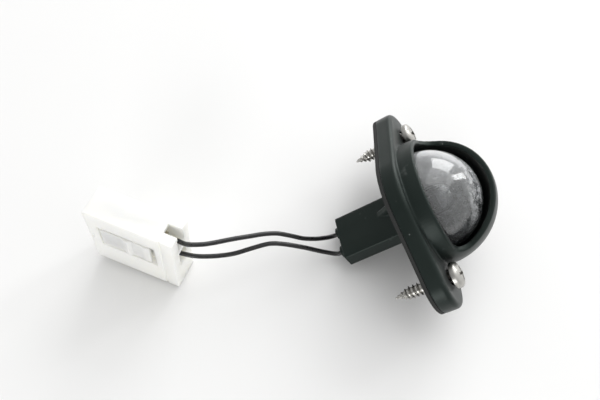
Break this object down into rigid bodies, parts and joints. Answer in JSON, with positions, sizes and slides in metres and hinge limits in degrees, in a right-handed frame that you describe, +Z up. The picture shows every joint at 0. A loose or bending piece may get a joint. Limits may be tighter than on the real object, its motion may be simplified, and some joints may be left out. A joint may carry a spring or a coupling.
{
  "type": "number plate lamp",
  "caption": "Number-plate lamp for a car or trailer: hooded black housing with a clear dome lens, wedge bulb, screws and a short two-wire lead.",
  "frame": {"origin": "centre of the lamp's box at the surface it lies on", "axes": "+X along the flange from screw to screw, +Z up; the lens points along +Y and up, and the lead leaves along -Y"},
  "size_m": [0.0684, 0.1258, 0.0381],
  "materials": {
    "black_nylon": "satin",
    "black_rubber": "matte",
    "clear_lens": "gloss",
    "bulb_glass": "gloss",
    "nickel_plate": "satin",
    "tinned_brass": "satin",
    "tungsten": "matte",
    "natural_nylon": "satin",
    "wire_insulation": "gloss"
  },
  "bodies": {
    "base": {"base_housing": "black_nylon", "mounting_gasket": "black_rubber", "socket_contact_left": "tinned_brass", "socket_contact_right": "tinned_brass", "wire_seal_left": "black_rubber", "wire_seal_right": "black_rubber", "connector_housing": "natural_nylon", "connector_terminal_lower": "tinned_brass", "connector_terminal_upper": "tinned_brass", "wire_upper": "wire_insulation", "wire_lower": "wire_insulation"},
    "cover": {"cover_housing": "black_nylon", "lens": "clear_lens", "lens_seal": "black_rubber"},
    "bulb": {"bulb_glass": "bulb_glass", "bulb_filament": "tungsten", "bulb_lead_left": "nickel_plate", "bulb_lead_right": "nickel_plate"},
    "screw_left": {"screw_left": "nickel_plate"},
    "screw_right": {"screw_right": "nickel_plate"},
    "lock": {"connector_lock": "natural_nylon"}
  },
  "joints": [
    {"name": "cover_lift", "type": "slide", "parent": "base", "child": "cover", "axis": [0, 0.8428, 0.5382], "range_m": [0, 0.03]},
    {"name": "bulb_pull", "type": "slide", "parent": "base", "child": "bulb", "axis": [0, 0.8428, 0.5382], "range_m": [0, 0.006]},
    {"name": "screw_left_out", "type": "slide", "parent": "cover", "child": "screw_left", "axis": [0, 0.8428, 0.5382], "range_m": [-0.0006, 0.019]},
    {"name": "screw_right_out", "type": "slide", "parent": "cover", "child": "screw_right", "axis": [0, 0.8428, 0.5382], "range_m": [-0.0006, 0.019]},
    {"name": "lock_press", "type": "hinge", "parent": "base", "child": "lock", "pos_m": [-0.00967, -0.09582, 0.01746], "axis": [-0.0348, 0.0912, 0.9952], "range_deg": [0, 4.2]}
  ]
}
